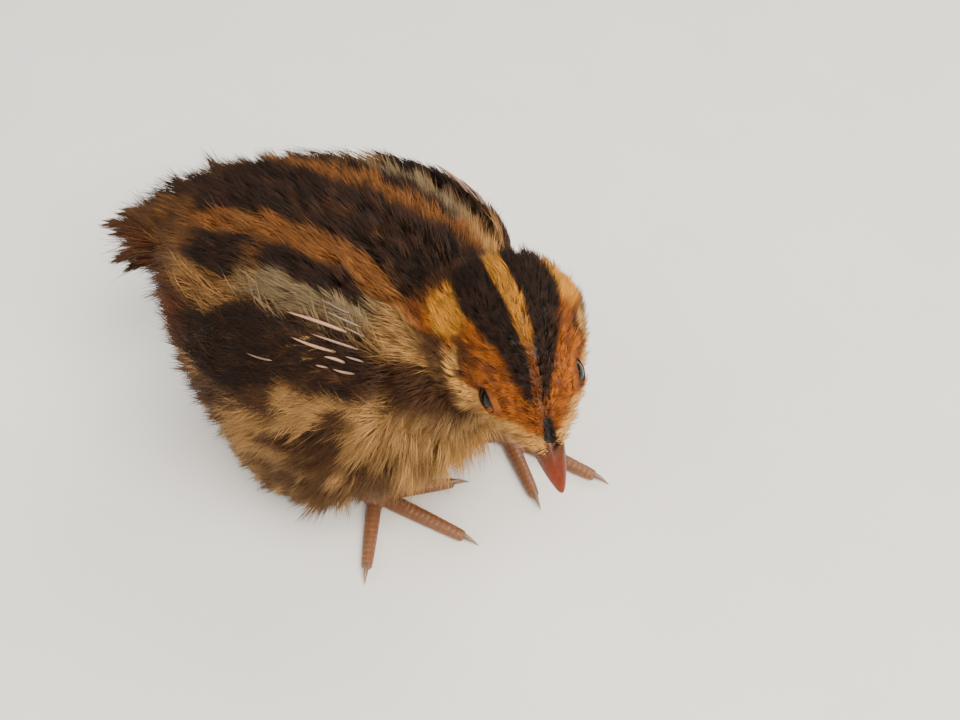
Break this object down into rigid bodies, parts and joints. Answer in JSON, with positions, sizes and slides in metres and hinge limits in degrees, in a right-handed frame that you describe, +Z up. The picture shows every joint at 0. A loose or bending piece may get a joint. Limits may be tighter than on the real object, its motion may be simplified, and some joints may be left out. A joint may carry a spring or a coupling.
{
  "type": "coturnix quail chick",
  "caption": "Life-size still model of a coturnix quail chick in striped brown down, crouched on its hocks, with its head turned to its right and bent down.",
  "frame": {"origin": "the middle of the model's box, at the floor that the chick rests on", "axes": "+X from tail to breast, +Y to the chick's left, +Z up"},
  "size_m": [0.066, 0.0414, 0.0415],
  "materials": {
    "down": "soft natal down in dark brown, rufous and buff stripes",
    "feather": "dark brown first flight feathers with buff tips, in pale sheaths at the root",
    "bill": "smooth horn, pinkish brown at the root and orange red at the tip",
    "eye": "wet dark brown eye",
    "leg": "fine pinkish brown scales",
    "claw": "pale brown horn"
  },
  "bodies": {
    "root": {"torso": "down", "head": "down", "neck": "down", "tail": "down", "bill_upper": "bill", "bill_lower": "bill", "eye_right": "eye", "thigh_right": "down", "wing_right": "feather", "shank_right": "leg", "toe_right_middle": "leg", "claw_right_middle": "claw", "toe_right_inner": "leg", "claw_right_inner": "claw", "toe_right_outer": "leg", "claw_right_outer": "claw", "toe_right_hind": "leg", "claw_right_hind": "claw", "eye_left": "eye", "thigh_left": "down", "wing_left": "feather", "shank_left": "leg", "toe_left_middle": "leg", "claw_left_middle": "claw", "toe_left_inner": "leg", "claw_left_inner": "claw", "toe_left_outer": "leg", "claw_left_outer": "claw", "toe_left_hind": "leg", "claw_left_hind": "claw"}
  },
  "joints": []
}
